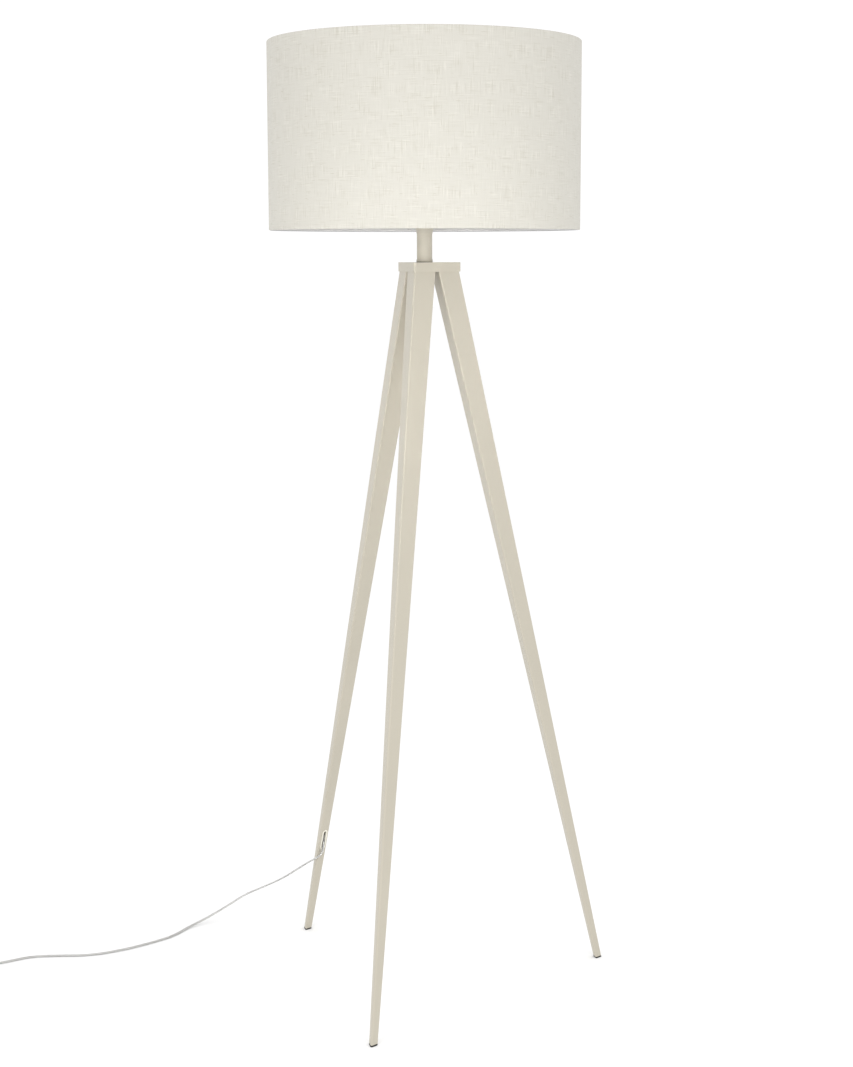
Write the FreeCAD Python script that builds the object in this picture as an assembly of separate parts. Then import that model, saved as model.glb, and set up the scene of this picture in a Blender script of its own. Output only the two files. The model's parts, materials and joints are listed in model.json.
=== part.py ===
"""Tripod floor lamp with a drum shade, in millimetres, standing on z = 0.

The lamp's axis is the Z axis. The front leg points along -Y, the right leg and the cord's leg
stand at 120 degrees from it, and the flex runs out along -X to its foot switch and plug.
"""
import FreeCAD
import Part
import math
import os

from FreeCAD import Vector

# Legs: tapered triangular tubes, one corner pointing away from the axis
LEG_POLAR = {"front": 270.0, "right": 30.0, "cord": 150.0}
LEG_TOP_Z = 1187.0          # where the cut tops meet the plate
LEG_FOOT_REACH = 316.3      # axis to the rounded outer corner, at the floor
LEG_TOP_REACH = 57.6        # the same at the top
LEG_FOOT_SIDE = 16.6        # side of the section measured to its sharp corners
LEG_TOP_SIDE = 49.2
LEG_CORNER_RADIUS = 2.0
LEG_WALL = 1.2

# Feet: rubber plugs in the leg ends
FOOT_THICKNESS = 2.5
FOOT_PLUG_DEPTH = 14.0
FOOT_CLEARANCE = 0.15

# Plate, cover and the fixings between them and the legs
CAP_OVERHANG = 2.4          # plate and cover's corner beyond the leg's corner
CAP_CORNER_RADIUS = 3.0
PLATE_THICKNESS = 3.0
COVER_HEIGHT = 12.0
COVER_WALL = 1.5
INSERT_DEPTH = 16.0
INSERT_CLEARANCE = 0.1
LEG_SCREW_RADIUS = 2.4
LEG_SCREW_HEAD_RADIUS = 4.25
LEG_SCREW_HEAD_HEIGHT = 3.0
LEG_SCREW_LENGTH = 17.0     # under the head
LEG_SCREW_INSET = 0.122     # from the leg's middle towards the axis, as a share of its top side
LEG_SCREW_SPREAD = 0.244    # each side of the leg's middle, as a share of its top side
LEG_SCREW_SOCKET = 1.7      # hexagon socket, across corners / 2
LEG_SCREW_SOCKET_DEPTH = 1.6
WASHER_RADIUS = 5.0
WASHER_THICKNESS = 1.0
SCREW_HOLE_CLEARANCE = 0.3
THREAD_CLEARANCE = 0.08

# Stem
STEM_RADIUS = 12.5
STEM_WALL = 1.5
STEM_RISE = 46.0            # from the cover to the lamp holder
STEM_FIT = 0.08             # radial gap wherever something slides in or over the stem
STEM_FOOT_LIP = 3.0         # stem foot's flange beyond the tube
STEM_FOOT_THICKNESS = 2.0
STEM_FOOT_BOSS = 1.6
SPIGOT_RADIUS = 5.9
SPIGOT_LENGTH = 14.0        # below the top of the plate
NUT_ACROSS_FLATS = 18.0
NUT_THICKNESS = 7.0
NUT_WASHER_RADIUS = 10.0
GASKET_WALL = 0.45          # rubber ring between the cover and the collar
GASKET_HEIGHT = 0.9
COLLAR_WALL = 0.6
COLLAR_HEIGHT = 3.6
BUSH_DEPTH = 10.0
NIPPLE_RADIUS = 4.9
NIPPLE_BORE = 3.4
NIPPLE_BELOW = 16.0         # below the stem's top
NIPPLE_ABOVE = 9.0
NIPPLE_NUT_RADIUS = 8.0
NIPPLE_NUT_THICKNESS = 3.0

# Lamp holder, E27
HOLDER_CUP_FOOT_LIP = 0.4   # cup's foot beyond the stem
HOLDER_CUP_LIP = 1.65       # cup beyond the shell that screws into it
HOLDER_CUP_HEIGHT = 30.0
HOLDER_CUP_WALL = 1.5
HOLDER_CUP_FLOOR = 3.0
HOLDER_RIM_DEPTH = 8.0      # how far the shell screws into the cup
HOLDER_SHELL_RADIUS = 19.75
HOLDER_SHELL_WALL = 2.4
HOLDER_SHELL_HEIGHT = 48.0
HOLDER_CORE_RADIUS = 15.8
HOLDER_CORE_HEIGHT = 17.0
HOLDER_THREAD_RADIUS = 13.75
HOLDER_THREAD_WALL = 0.8
HOLDER_THREAD_HEIGHT = 25.0
CENTRE_CONTACT_HEIGHT = 1.2
TERMINAL_SPREAD = 8.0
RING_NUT_WALL = 3.75        # outside the shell
RING_NUT_HEIGHT = 7.0
RING_NUT_FIT = 0.06
RING_NUT_FLANGE_LIP = 8.75  # outside the shell
RING_NUT_FLANGE = 2.0
RING_NUT_NOTCHES = 12
RING_NUT_NOTCH_RADIUS = 1.8

# Bulb, E27 cap with a 60 mm globe
BULB_CAP_FIT = 0.07
BULB_CAP_HEIGHT = 26.0
BULB_RADIUS = 30.0
BULB_LENGTH = 106.0         # tip of the cap to the top of the globe
BULB_GLASS = 1.0
BULB_NECK_RADIUS = 12.9
FILAMENT_RADIUS = 0.9
FILAMENT_COUNT = 4
FILAMENT_LENGTH = 32.0
FILAMENT_REACH = 7.0        # filaments' distance from the axis

# Shade
SHADE_RADIUS = 250.0
SHADE_HEIGHT = 294.7
SHADE_RISE = 5.0            # from the foot of the lamp holder to the shade's lower edge
SHADE_FABRIC = 0.8
SHADE_LINER = 0.5
SHADE_LINER_GAP = 0.1
RIM_WIRE_RADIUS = 2.0
RIM_WIRE_INSET = 0.1        # between the liner and the rim wires
RIM_WIRE_RISE = 0.6         # between the shade's edge and the rim wires
FITTER_RING_GAP = 1.25      # between the holder's shell and the fitter ring
FITTER_RING_WIDTH = 5.5
FITTER_RING_THICKNESS = 1.5
FITTER_RISE = 21.0          # from the foot of the shell to the fitter ring's underside
FITTER_GAP = 0.05
SPOKE_RADIUS = 2.0
SPOKE_COUNT = 3
SPOKE_FIRST_POLAR = 105.6

# Slot low in the cord's leg, and its lining
SLOT_Z = 178.0              # middle of the slot
SLOT_LENGTH = 36.0
SLOT_WIDTH = 8.4
GROMMET_WALL = 0.9
GROMMET_FLANGE = 0.7
GROMMET_FLANGE_LIP = 1.3
GROMMET_FIT = 0.05
GROMMET_SEAT = 0.03         # between the lining's flange and the leg
GROMMET_TAIL = 0.8          # how far the lining reaches behind the leg's wall

# Flex: a flat twin lead 5.2 x 2.8 mm; its solids are round tubes of the same section area
CORD_RADIUS = 2.0
CORD_BORE_RADIUS = 6.5      # passage through plate and insert
CORD_BORE_OFFSET = 0.0874   # from the leg's middle away from the axis, as a share of its top side
STEM_WINDOW_WIDTH = 5.6     # notch in the stem's foot that lets the flex out
STEM_WINDOW_TOP_GAP = 0.1
EXIT_RUN = 24.0             # straight run inside the leg before the slot
RELIEF_RUN = 12.0           # straight run in front of each strain relief

# Foot switch
SWITCH_LENGTH = 80.0
SWITCH_WIDTH = 38.0
SWITCH_HEIGHT = 22.0
SWITCH_SPLIT_Z = 10.0
SWITCH_WALL = 2.0
SWITCH_CORNER = 12.0
SWITCH_EDGE_FILLET = 3.0
SWITCH_CORD_Z = 6.5
BUTTON_RADIUS = 11.0
BUTTON_PROUD = 4.5
BUTTON_FLANGE = 1.6
BUTTON_GAP = 0.3
SPRING_RADIUS = 5.0
SPRING_WALL = 1.0
SPRING_SEAT = 0.3
SWITCH_SCREW_RADIUS = 1.5
SWITCH_SCREW_HEAD = 2.8
SWITCH_SCREW_SPREAD = 29.0  # from the middle of the switch
SWITCH_SCREW_FROM_WALL = 5.4
SWITCH_POST_RADIUS = 3.4
RELIEF_LENGTH = 22.0
RELIEF_ROOT_RADIUS = 5.0
RELIEF_TIP_RADIUS = 3.2
TERMINAL_BLOCK = (14.0, 9.0, 6.0)
TERMINAL_BLOCK_SPREAD = 17.0
TERMINAL_BLOCK_ASIDE = 9.5  # from the switch's middle line, clear of the flex that runs through

# Plug: flat two-pin plug, pins 4.0 mm at 18.6 mm
PLUG_LENGTH = 36.0          # without the strain relief and the pins
PLUG_FACE_WIDTH = 35.0
PLUG_THICKNESS = 13.7
PLUG_TAIL_WIDTH = 12.0
PLUG_TAIL_THICKNESS = 10.0
PIN_RADIUS = 2.0
PIN_LENGTH = 19.0
PIN_SPACING = 18.6
PIN_TIP_FILLET = 1.2
PIN_ROOT = 12.0             # thinner part of the pin, inside the body
PIN_ROOT_RADIUS = 1.5
PIN_ROOT_CLEARANCE = 0.05

# Put-away length: a round coil, tied, between the switch and the plug
COIL_CENTRE = (-819.1, -342.0)
COIL_MEAN_RADIUS = 28.6
COIL_BUILD = 9.4            # across the wound turns
COIL_HEIGHT = 10.8
TIE_POLAR = 262.0
TIE_WIDTH = 7.0
TIE_THICKNESS = 1.0
TIE_GAP = 0.2

# Where the pieces on the flex lie
SWITCH_CENTRE = (-770.0, -252.0)
SWITCH_POLAR = 255.0        # direction from the lamp's end to the plug's end
PLUG_TAIL_Y = -279.0

# Route of the flex where it lies free: from the slot to the switch
ROUTE_TO_SWITCH = [
    (-226.8, 130.9, 176.0), (-226.8, 130.9, 157.5), (-231.5, 122.6, 149.5),
    (-249.0, 118.8, 139.5), (-273.0, 131.0, 121.5), (-315.0, 154.0, 89.8),
    (-360.0, 176.0, 63.0), (-399.0, 182.0, 43.0), (-429.0, 161.0, 23.0),
    (-459.0, 131.0, 7.5), (-478.0, 96.0, 2.0), (-485.0, 52.0, 2.0),
    (-508.0, 12.0, 2.0), (-545.0, -38.0, 2.0), (-590.0, -77.0, 2.0),
    (-642.0, -92.0, 2.0), (-688.0, -109.0, 2.0), (-716.0, -144.0, 2.0),
    (-738.0, -164.0, 3.0),
]

# Middle of the slot for which the route is drawn; if the slot moves, the hanging part goes with it
ROUTE_SLOT = (-225.94, 130.45, 178.0)
HANGING_POINTS = 7

# Heights and widths that follow from the sizes above
PLATE_TOP_Z = LEG_TOP_Z + PLATE_THICKNESS
COVER_TOP_Z = PLATE_TOP_Z + COVER_HEIGHT
STEM_TOP_Z = COVER_TOP_Z + STEM_RISE
SHOULDER_Z = STEM_TOP_Z + HOLDER_CUP_HEIGHT - HOLDER_RIM_DEPTH
FITTER_Z = SHOULDER_Z + FITTER_RISE
SHADE_BOTTOM_Z = STEM_TOP_Z + SHADE_RISE
CAP_REACH = LEG_TOP_REACH + CAP_OVERHANG
FITTER_RING_BORE = HOLDER_SHELL_RADIUS + FITTER_RING_GAP
FITTER_RING_RADIUS = FITTER_RING_BORE + FITTER_RING_WIDTH

PARTS = {}


def polar_vector(polar, reach=1.0, z=0.0):
    """A point at a distance from the axis, in a direction given in degrees."""
    angle = math.radians(polar)
    return Vector(reach * math.cos(angle), reach * math.sin(angle), z)


def turned(shape, polar):
    """The shape turned about the lamp's axis."""
    copy = shape.copy()
    copy.rotate(Vector(0, 0, 0), Vector(0, 0, 1), polar)
    return copy


def keep(node, *solids):
    """Store the solids that make up one named node."""
    found = []
    for shape in solids:
        found.extend(shape.Solids)
    for solid in found:
        if not solid.isValid() or solid.Volume <= 0:
            raise ValueError("bad solid in " + node)
    PARTS[node] = found[0] if len(found) == 1 else Part.makeCompound(found)


def disc(radius, low, high, x=0.0, y=0.0):
    """Upright cylinder between two heights."""
    return Part.makeCylinder(radius, high - low, Vector(x, y, low))


def ring(outer, inner, low, high, x=0.0, y=0.0):
    """Upright tube between two heights."""
    return disc(outer, low, high, x, y).cut(disc(inner, low - 1, high + 1, x, y))


def revolved(points):
    """Solid of revolution about the axis from (radius, z) points."""
    loop = [Vector(r, 0, z) for r, z in points]
    face = Part.Face(Part.makePolygon(loop + [loop[0]]))
    return face.revolve(Vector(0, 0, 0), Vector(0, 0, 1), 360)


# ---------------------------------------------------------------- triangular sections


def triangle_wire(middle, side, corner, polar):
    """Equilateral triangle with rounded corners, one of them pointing along polar."""
    arc_reach = side / math.sqrt(3) - 2 * corner
    edges = []
    ends = []
    for turn in (0, 120, 240):
        centre = middle + polar_vector(polar + turn, arc_reach)
        start, mid, end = (centre + polar_vector(polar + turn + bend, corner) for bend in (-60, 0, 60))
        edges.append(Part.Arc(start, mid, end).toShape())
        ends.append((start, end))
    for index in range(3):
        edges.append(Part.LineSegment(ends[index][1], ends[(index + 1) % 3][0]).toShape())
    return Part.Wire(Part.__sortEdges__(edges))


def along_leg(z, at_foot, at_top):
    """A size that tapers evenly from the floor to the top of the leg."""
    return at_foot + (at_top - at_foot) * z / LEG_TOP_Z


def leg_side(z):
    return along_leg(z, LEG_FOOT_SIDE, LEG_TOP_SIDE)


def leg_reach(z):
    """Distance from the axis to the middle of the leg's section."""
    corner_reach = along_leg(z, LEG_FOOT_REACH, LEG_TOP_REACH)
    return corner_reach - leg_side(z) / math.sqrt(3) + LEG_CORNER_RADIUS


def leg_body(polar, low, high, inset):
    """Solid that follows the leg between two heights, its faces moved in by inset."""
    corner = max(LEG_CORNER_RADIUS - inset, 0.3)
    wires = []
    for z in (low, high):
        side = leg_side(z) - 2 * math.sqrt(3) * inset
        wires.append(triangle_wire(polar_vector(polar, leg_reach(z), z), side, corner, polar))
    return Part.makeLoft(wires, True, True)


def plate_wire(inset, z):
    side = (CAP_REACH + CAP_CORNER_RADIUS) * math.sqrt(3) - 2 * math.sqrt(3) * inset
    return triangle_wire(Vector(0, 0, z), side, CAP_CORNER_RADIUS - inset, LEG_POLAR["front"])


def plate_body(inset, low, high):
    return Part.Face(plate_wire(inset, low)).extrude(Vector(0, 0, high - low))


# ---------------------------------------------------------------- slot frame


def slot_frame():
    """Placement on the inner face of the cord's leg: x across, y up the face, z out of it."""
    polar = LEG_POLAR["cord"]
    heights = (0.0, LEG_TOP_Z)
    low, high = (leg_reach(z) - leg_side(z) / (2 * math.sqrt(3)) for z in heights)
    up = (polar_vector(polar, high, LEG_TOP_Z) - polar_vector(polar, low)).normalize()
    across = polar_vector(polar - 90)
    out = across.cross(up)
    face_reach = along_leg(SLOT_Z, low, high)
    origin = polar_vector(polar, face_reach, SLOT_Z)
    matrix = FreeCAD.Matrix(
        across.x, up.x, out.x, origin.x,
        across.y, up.y, out.y, origin.y,
        across.z, up.z, out.z, origin.z,
        0, 0, 0, 1)
    return FreeCAD.Placement(matrix)


def obround(length, width, low, high):
    """Prism with round ends, its length along y, between two heights."""
    half = (length - width) / 2
    radius = width / 2
    corners = [Vector(radius, -half, low), Vector(radius, half, low),
               Vector(-radius, half, low), Vector(-radius, -half, low)]
    edges = [
        Part.LineSegment(corners[0], corners[1]).toShape(),
        Part.Arc(corners[1], Vector(0, half + radius, low), corners[2]).toShape(),
        Part.LineSegment(corners[2], corners[3]).toShape(),
        Part.Arc(corners[3], Vector(0, -half - radius, low), corners[0]).toShape(),
    ]
    return Part.Face(Part.Wire(edges)).extrude(Vector(0, 0, high - low))


def placed(shape, placement):
    copy = shape.copy()
    copy.Placement = placement.multiply(copy.Placement)
    return copy


# ---------------------------------------------------------------- legs and cap


def make_legs():
    inner_low = FOOT_THICKNESS - 1
    for name, polar in LEG_POLAR.items():
        outer = leg_body(polar, FOOT_THICKNESS, LEG_TOP_Z, 0)
        inner = leg_body(polar, inner_low, LEG_TOP_Z + 1, LEG_WALL)
        leg = outer.cut(inner)
        if name == "cord":
            hole = obround(SLOT_LENGTH, SLOT_WIDTH, -LEG_WALL - 2, 3)
            leg = leg.cut(placed(hole, slot_frame()))
        keep(name + "_leg", leg)
        foot = leg_body(polar, 0, FOOT_THICKNESS, 0)
        inset = LEG_WALL + FOOT_CLEARANCE
        stub = leg_body(polar, FOOT_THICKNESS, FOOT_THICKNESS + FOOT_PLUG_DEPTH, inset)
        keep(name + "_foot", foot.fuse(stub))


def leg_screw_places():
    for polar in LEG_POLAR.values():
        middle = polar_vector(polar, leg_reach(LEG_TOP_Z) - LEG_SCREW_INSET * LEG_TOP_SIDE)
        for side in (-1, 1):
            yield middle + polar_vector(polar + 90, side * LEG_SCREW_SPREAD * LEG_TOP_SIDE)


def cord_passage(low, high):
    """Cutter for the hole that the flex takes into its leg."""
    reach = leg_reach(LEG_TOP_Z) + CORD_BORE_OFFSET * LEG_TOP_SIDE
    middle = polar_vector(LEG_POLAR["cord"], reach)
    return disc(CORD_BORE_RADIUS, low, high, middle.x, middle.y)


def hexagon(radius, low, high, x=0.0, y=0.0):
    points = [polar_vector(60 * k, radius, low) + Vector(x, y, 0) for k in range(7)]
    return Part.Face(Part.makePolygon(points)).extrude(Vector(0, 0, high - low))


def make_cap():
    plate = plate_body(0, LEG_TOP_Z, PLATE_TOP_Z)
    plate = plate.cut(disc(SPIGOT_RADIUS + SCREW_HOLE_CLEARANCE, LEG_TOP_Z - 1, PLATE_TOP_Z + 1))
    plate = plate.cut(cord_passage(LEG_TOP_Z - 1, PLATE_TOP_Z + 1))
    screws = []
    washers = []
    for spot in leg_screw_places():
        hole = LEG_SCREW_RADIUS + SCREW_HOLE_CLEARANCE
        plate = plate.cut(disc(hole, LEG_TOP_Z - 1, PLATE_TOP_Z + 1, spot.x, spot.y))
        head_low = PLATE_TOP_Z + WASHER_THICKNESS
        head_high = head_low + LEG_SCREW_HEAD_HEIGHT
        shank = disc(LEG_SCREW_RADIUS, head_low - LEG_SCREW_LENGTH, head_low, spot.x, spot.y)
        head = disc(LEG_SCREW_HEAD_RADIUS, head_low, head_high, spot.x, spot.y)
        socket_low = head_high - LEG_SCREW_SOCKET_DEPTH
        socket = hexagon(LEG_SCREW_SOCKET, socket_low, head_high + 1, spot.x, spot.y)
        screws.append(shank.fuse(head).cut(socket).removeSplitter())
        washers.append(ring(WASHER_RADIUS, hole, PLATE_TOP_Z, head_low, spot.x, spot.y))
    keep("leg_plate", plate)
    keep("leg_screws", *screws)
    keep("leg_washers", *washers)

    cover = plate_body(0, PLATE_TOP_Z, COVER_TOP_Z)
    cover = cover.cut(plate_body(COVER_WALL, PLATE_TOP_Z - 1, COVER_TOP_Z - COVER_WALL))
    cover = cover.cut(disc(STEM_RADIUS + STEM_FIT, PLATE_TOP_Z, COVER_TOP_Z + 1))
    keep("cap_cover", cover)

    for name, polar in LEG_POLAR.items():
        inset = LEG_WALL + INSERT_CLEARANCE
        insert = leg_body(polar, LEG_TOP_Z - INSERT_DEPTH, LEG_TOP_Z, inset)
        for spot in leg_screw_places():
            hole = LEG_SCREW_RADIUS + THREAD_CLEARANCE
            insert = insert.cut(disc(hole, LEG_TOP_Z - 40, LEG_TOP_Z + 1, spot.x, spot.y))
        if name == "cord":
            insert = insert.cut(cord_passage(LEG_TOP_Z - 40, LEG_TOP_Z + 1))
        keep(name + "_leg_insert", insert)


def make_stem():
    flange_top = PLATE_TOP_Z + STEM_FOOT_THICKNESS
    inner = STEM_RADIUS - STEM_WALL
    boss = disc(inner - STEM_FIT, flange_top, flange_top + STEM_FOOT_BOSS)
    flange = disc(STEM_RADIUS + STEM_FOOT_LIP, PLATE_TOP_Z, flange_top)
    spigot = disc(SPIGOT_RADIUS, PLATE_TOP_Z - SPIGOT_LENGTH, PLATE_TOP_Z)
    keep("stem_foot", flange.fuse(boss).fuse(spigot).removeSplitter())

    tube = ring(STEM_RADIUS, inner, flange_top, STEM_TOP_Z)
    window_low = flange_top + STEM_FOOT_BOSS
    window_high = COVER_TOP_Z - COVER_WALL - STEM_WINDOW_TOP_GAP
    window = Part.makeBox(STEM_RADIUS, STEM_WINDOW_WIDTH, window_high - window_low,
                          Vector(inner - 4, -STEM_WINDOW_WIDTH / 2, window_low))
    keep("stem_tube", tube.cut(turned(window, LEG_POLAR["cord"])))
    collar_bore = STEM_RADIUS + STEM_FIT
    collar_low = COVER_TOP_Z + GASKET_HEIGHT
    keep("stem_gasket", ring(collar_bore + GASKET_WALL, collar_bore, COVER_TOP_Z, collar_low))
    keep("stem_collar", ring(collar_bore + COLLAR_WALL, collar_bore, collar_low,
                             collar_low + COLLAR_HEIGHT))

    washer_low = LEG_TOP_Z - WASHER_THICKNESS
    bore = SPIGOT_RADIUS + THREAD_CLEARANCE
    keep("stem_washer", ring(NUT_WASHER_RADIUS, bore, washer_low, LEG_TOP_Z))
    nut = hexagon(NUT_ACROSS_FLATS / math.sqrt(3), washer_low - NUT_THICKNESS, washer_low)
    keep("stem_nut", nut.cut(disc(bore, washer_low - NUT_THICKNESS - 1, washer_low + 1)))

    thread = NIPPLE_RADIUS + THREAD_CLEARANCE
    keep("stem_bush", ring(inner - STEM_FIT, thread, STEM_TOP_Z - BUSH_DEPTH, STEM_TOP_Z))
    keep("holder_nipple", ring(NIPPLE_RADIUS, NIPPLE_BORE, STEM_TOP_Z - NIPPLE_BELOW,
                               STEM_TOP_Z + NIPPLE_ABOVE))
    nut_low = STEM_TOP_Z + HOLDER_CUP_FLOOR
    nipple_nut = hexagon(NIPPLE_NUT_RADIUS, nut_low, nut_low + NIPPLE_NUT_THICKNESS)
    keep("nipple_nut", nipple_nut.cut(disc(thread, nut_low - 1, nut_low + 9)))


# ---------------------------------------------------------------- lamp holder and bulb


def make_holder():
    low = STEM_TOP_Z
    top = low + HOLDER_CUP_HEIGHT
    foot = STEM_RADIUS + HOLDER_CUP_FOOT_LIP
    wide = HOLDER_SHELL_RADIUS + HOLDER_CUP_LIP
    outline = [(foot, low), (foot + 0.6, low + 5), (foot + 2.2, low + 9.5),
               (foot + 5.2, low + 14.5), (wide - 1.0, low + 19.5), (wide, SHOULDER_Z), (wide, top)]
    wall = HOLDER_CUP_WALL
    shell_in = HOLDER_SHELL_RADIUS + THREAD_CLEARANCE
    hollow = [(shell_in, top), (shell_in, SHOULDER_Z), (wide - 1.0 - 2 * wall, low + 19.5),
              (foot + 5.2 - 1.6 * wall, low + 14.5), (foot + 2.2 - 1.4 * wall, low + 9.5),
              (foot - wall, low + HOLDER_CUP_FLOOR), (NIPPLE_RADIUS + THREAD_CLEARANCE,
                                                      low + HOLDER_CUP_FLOOR),
              (NIPPLE_RADIUS + THREAD_CLEARANCE, low)]
    keep("holder_cup", revolved(outline + hollow))

    shell_in = HOLDER_SHELL_RADIUS - HOLDER_SHELL_WALL
    keep("holder_shell", ring(HOLDER_SHELL_RADIUS, shell_in, SHOULDER_Z,
                              SHOULDER_Z + HOLDER_SHELL_HEIGHT))

    core_low = SHOULDER_Z + 1.0
    core_top = core_low + HOLDER_CORE_HEIGHT
    core = disc(HOLDER_CORE_RADIUS, core_low, core_top)
    core_flange = disc(shell_in - THREAD_CLEARANCE, core_low, core_low + 4)
    core = core.fuse(core_flange).removeSplitter()
    screws = []
    for side in (-1, 1):
        y = side * TERMINAL_SPREAD
        core = core.cut(disc(2.3, core_low - 1, core_low + 7, 0, y))
        screws.append(disc(2.0, core_low - 0.6, core_low + 6, 0, y))
    keep("holder_core", core)
    keep("terminal_screws", *screws)

    thread_low = core_top
    thread_high = thread_low + HOLDER_THREAD_HEIGHT
    sleeve = ring(HOLDER_THREAD_RADIUS + HOLDER_THREAD_WALL, HOLDER_THREAD_RADIUS,
                  thread_low, thread_high)
    keep("holder_thread_sleeve", sleeve)
    keep("holder_centre_contact", disc(3.2, core_top, core_top + CENTRE_CONTACT_HEIGHT))
    return core_top + CENTRE_CONTACT_HEIGHT


def make_ring_nuts():
    """Two ring nuts on the shell clamp the fitter ring of the shade between them."""
    bore = HOLDER_SHELL_RADIUS + RING_NUT_FIT
    hub_radius = HOLDER_SHELL_RADIUS + RING_NUT_WALL
    flange_radius = HOLDER_SHELL_RADIUS + RING_NUT_FLANGE_LIP
    for node, face, out in (("shade_ring_lower", FITTER_Z - FITTER_GAP, -1),
                            ("shade_ring_upper", FITTER_Z + FITTER_RING_THICKNESS + FITTER_GAP, 1)):
        flange = ring(flange_radius, bore, *sorted((face, face + out * RING_NUT_FLANGE)))
        hub = ring(hub_radius, bore, *sorted((face, face + out * RING_NUT_HEIGHT)))
        body = flange.fuse(hub).removeSplitter()
        for k in range(RING_NUT_NOTCHES):
            spot = polar_vector(360 / RING_NUT_NOTCHES * k, flange_radius + RING_NUT_NOTCH_RADIUS / 2)
            low, high = sorted((face - out, face + out * (RING_NUT_FLANGE + 1)))
            body = body.cut(disc(RING_NUT_NOTCH_RADIUS, low, high, spot.x, spot.y))
        keep(node, body)


def make_bulb(seat_z):
    tip = seat_z + 0.05
    cap_radius = HOLDER_THREAD_RADIUS - BULB_CAP_FIT
    cap_low = tip + 3.0
    cap_top = tip + BULB_CAP_HEIGHT
    keep("bulb_contact", disc(4.6, tip, tip + 1.6).fuse(disc(3.0, tip + 1.6, cap_low)).removeSplitter())
    cap = revolved([(0, cap_low), (6.0, cap_low), (11.0, cap_low + 3.4), (cap_radius, cap_low + 5.2),
                    (cap_radius, cap_top), (cap_radius - 0.6, cap_top),
                    (cap_radius - 0.6, cap_low + 5.6), (10.6, cap_low + 4.2), (0, cap_low + 1.0)])
    keep("bulb_cap", cap)

    centre = tip + BULB_LENGTH - BULB_RADIUS
    outline = bulb_outline(BULB_RADIUS, BULB_NECK_RADIUS, centre, cap_top)
    inner = bulb_outline(BULB_RADIUS - BULB_GLASS, BULB_NECK_RADIUS - BULB_GLASS, centre, cap_top)
    glass = Part.Face(outline).revolve(Vector(0, 0, 0), Vector(0, 0, 1), 360)
    hollow = Part.Face(inner).revolve(Vector(0, 0, 0), Vector(0, 0, 1), 360)
    keep("bulb_glass", glass.cut(hollow))

    rod_low = centre - FILAMENT_LENGTH / 2
    foot = disc(5.0, cap_top + 0.3, cap_top + 4).fuse(disc(2.2, cap_top + 4, rod_low - 1.0))
    foot = foot.fuse(disc(FILAMENT_REACH + FILAMENT_RADIUS, rod_low - 1.0, rod_low))
    rods = []
    for k in range(FILAMENT_COUNT):
        spot = polar_vector(45 + 360 / FILAMENT_COUNT * k, FILAMENT_REACH)
        rods.append(disc(FILAMENT_RADIUS, rod_low, rod_low + FILAMENT_LENGTH, spot.x, spot.y))
    keep("bulb_stem", foot.removeSplitter())
    keep("bulb_filaments", *rods)


def bulb_outline(radius, neck, centre, low):
    """Half section of the globe and its neck, closed along the axis."""
    join = math.radians(-42)
    on_globe = Vector(radius * math.cos(join), 0, centre + radius * math.sin(join))
    neck_top = Vector(neck, 0, low + 12)
    mid = Vector((on_globe.x + neck_top.x) / 2 - 0.8, 0, (on_globe.z + neck_top.z) / 2 + 0.6)
    top = Vector(0, 0, centre + radius)
    side = Vector(radius, 0, centre)
    edges = [
        Part.LineSegment(Vector(0, 0, low), Vector(neck, 0, low)).toShape(),
        Part.LineSegment(Vector(neck, 0, low), neck_top).toShape(),
        Part.Arc(neck_top, mid, on_globe).toShape(),
        Part.Arc(on_globe, side, top).toShape(),
        Part.LineSegment(top, Vector(0, 0, low)).toShape(),
    ]
    return Part.Wire(edges)


# ---------------------------------------------------------------- shade


def make_shade():
    low = SHADE_BOTTOM_Z
    high = low + SHADE_HEIGHT
    fabric_in = SHADE_RADIUS - SHADE_FABRIC
    liner_out = fabric_in - SHADE_LINER_GAP
    liner_in = liner_out - SHADE_LINER
    keep("shade_fabric", ring(SHADE_RADIUS, fabric_in, low, high))
    keep("shade_liner", ring(liner_out, liner_in, low + 0.5, high - 0.5))

    wire_reach = liner_in - RIM_WIRE_INSET - RIM_WIRE_RADIUS
    wire_low = low + RIM_WIRE_RISE + RIM_WIRE_RADIUS
    wire_high = high - RIM_WIRE_RISE - RIM_WIRE_RADIUS
    keep("shade_top_wire", Part.makeTorus(wire_reach, RIM_WIRE_RADIUS, Vector(0, 0, wire_high)))

    spider = ring(FITTER_RING_RADIUS, FITTER_RING_BORE, FITTER_Z, FITTER_Z + FITTER_RING_THICKNESS)
    rim = Part.makeTorus(wire_reach, RIM_WIRE_RADIUS, Vector(0, 0, wire_low))
    keep("shade_bottom_wire", rim)
    hub_reach = FITTER_RING_RADIUS + SPOKE_RADIUS - 0.4
    spoke_z = FITTER_Z - 0.2 + FITTER_RING_THICKNESS / 2
    spokes = []
    for k in range(SPOKE_COUNT):
        polar = SPOKE_FIRST_POLAR + 360 / SPOKE_COUNT * k
        start = polar_vector(polar, hub_reach + 1.0, spoke_z)
        end = polar_vector(polar, wire_reach - RIM_WIRE_RADIUS - SPOKE_RADIUS * 0.4, wire_low)
        length = start.distanceToPoint(end)
        spokes.append(Part.makeCylinder(SPOKE_RADIUS, length, start, end - start))
    for spoke in spokes:
        spider = spider.fuse(spoke)
    keep("shade_spider", spider.cut(rim))


# ---------------------------------------------------------------- flex


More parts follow.
